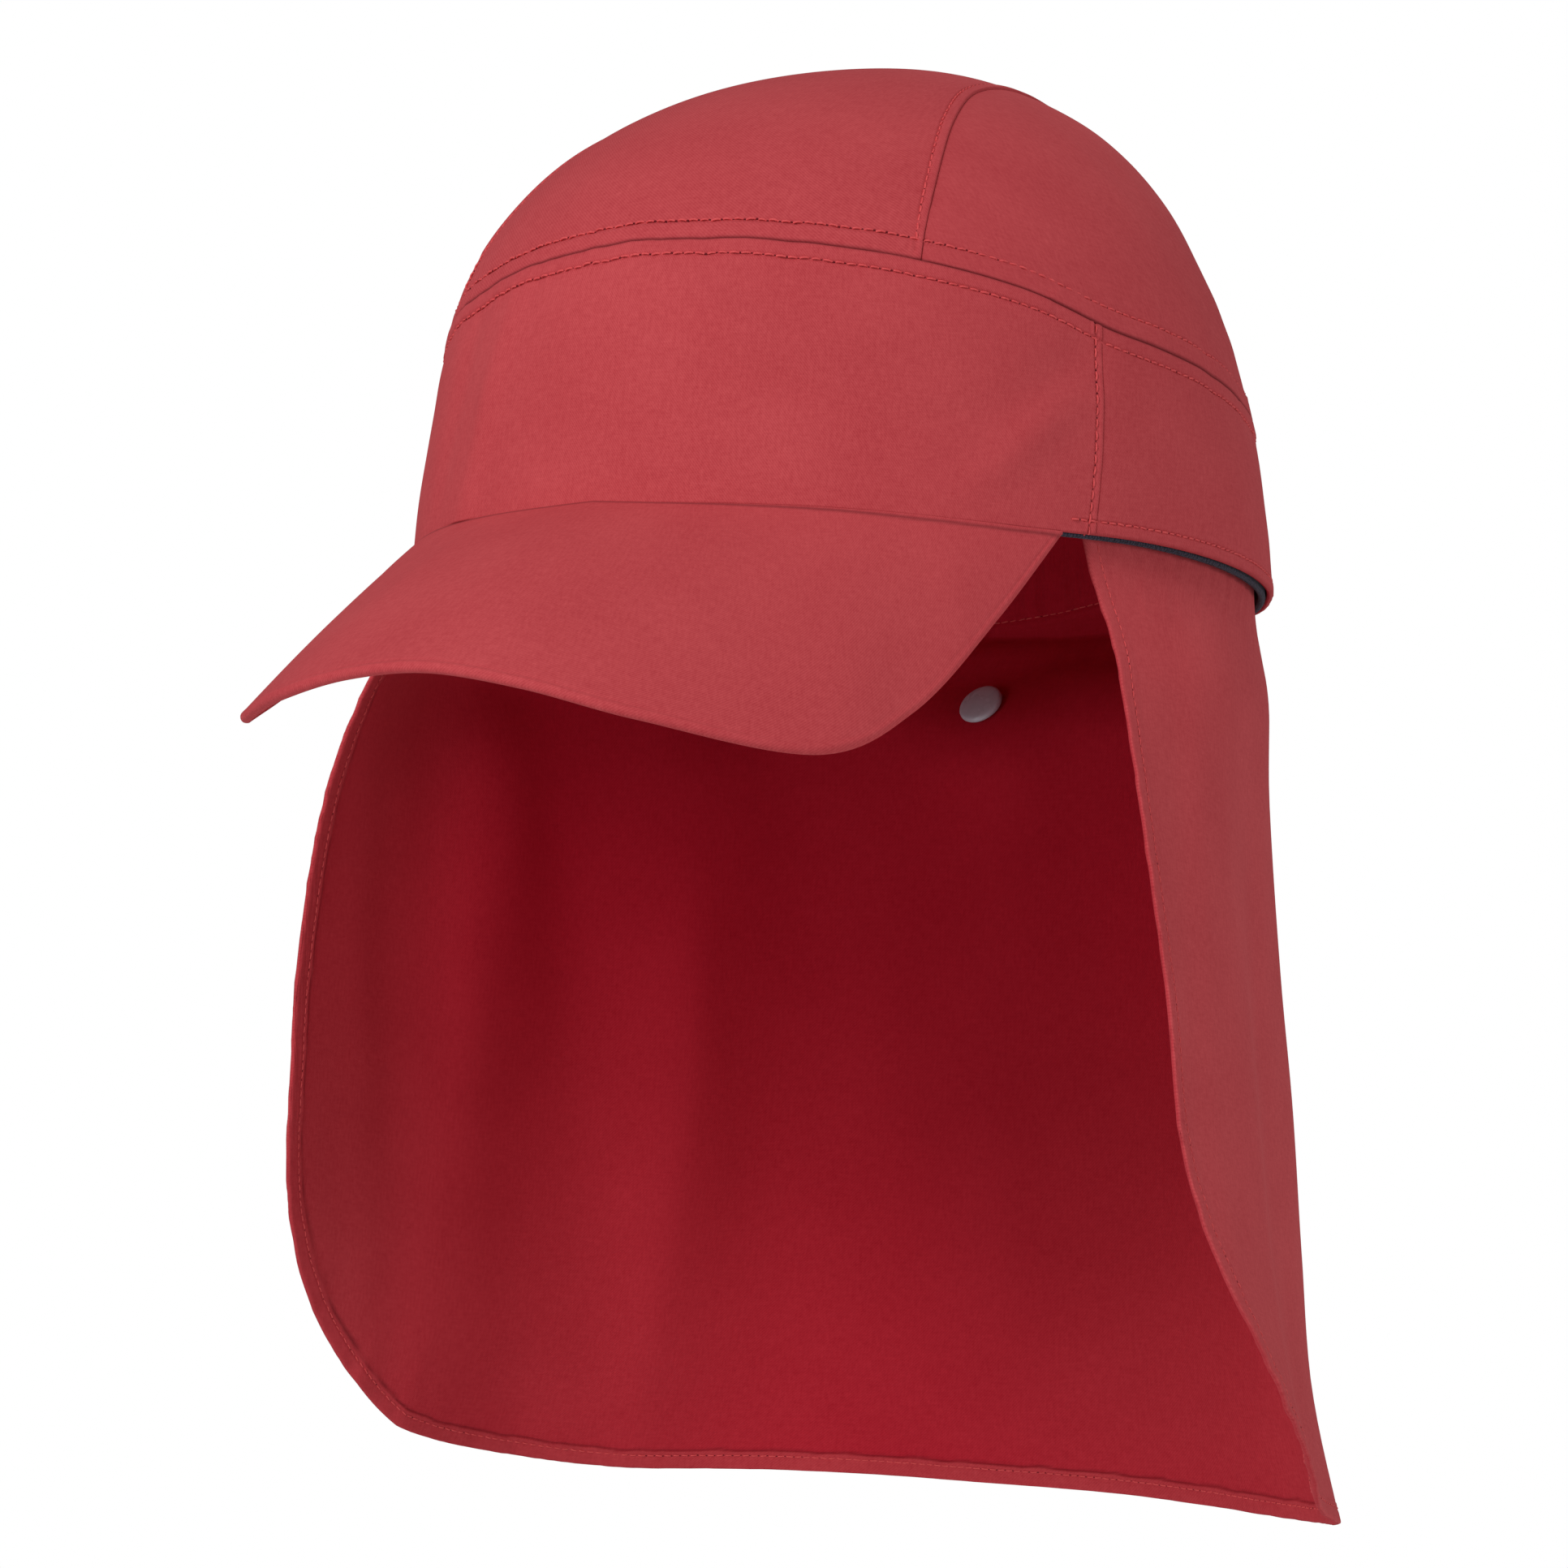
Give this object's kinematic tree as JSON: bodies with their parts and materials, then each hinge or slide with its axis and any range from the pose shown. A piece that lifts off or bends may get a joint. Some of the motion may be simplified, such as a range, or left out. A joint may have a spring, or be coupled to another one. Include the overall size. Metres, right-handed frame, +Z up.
{
  "type": "sun cap with neck cape",
  "caption": "Cloth sun cap with a stiff curved peak, a dark sweatband and a long cape that hangs round the neck.",
  "frame": {"origin": "middle of the head opening, level with the rim at the cap's sides, where a head holds the cap", "axes": "+Z up as worn, peak towards -Y, wearer's left towards +X"},
  "size_m": [0.2344, 0.2686, 0.3123],
  "materials": {
    "cap_cloth": "matt coral red twill, tightly woven",
    "peak_cloth": "matt coral red twill over a stiff board",
    "dark_knit": "charcoal looped knit",
    "cape_cloth": "matt coral red twill, one layer, hemmed",
    "snap_plastic": "smooth light grey"
  },
  "bodies": {
    "root": {"top_panel": "cap_cloth", "left_crown_panel": "cap_cloth", "right_crown_panel": "cap_cloth", "front_band": "cap_cloth", "back_band": "cap_cloth", "peak": "peak_cloth", "sweatband": "dark_knit", "neck_cape": "cape_cloth", "snap_button": "snap_plastic"}
  },
  "joints": []
}
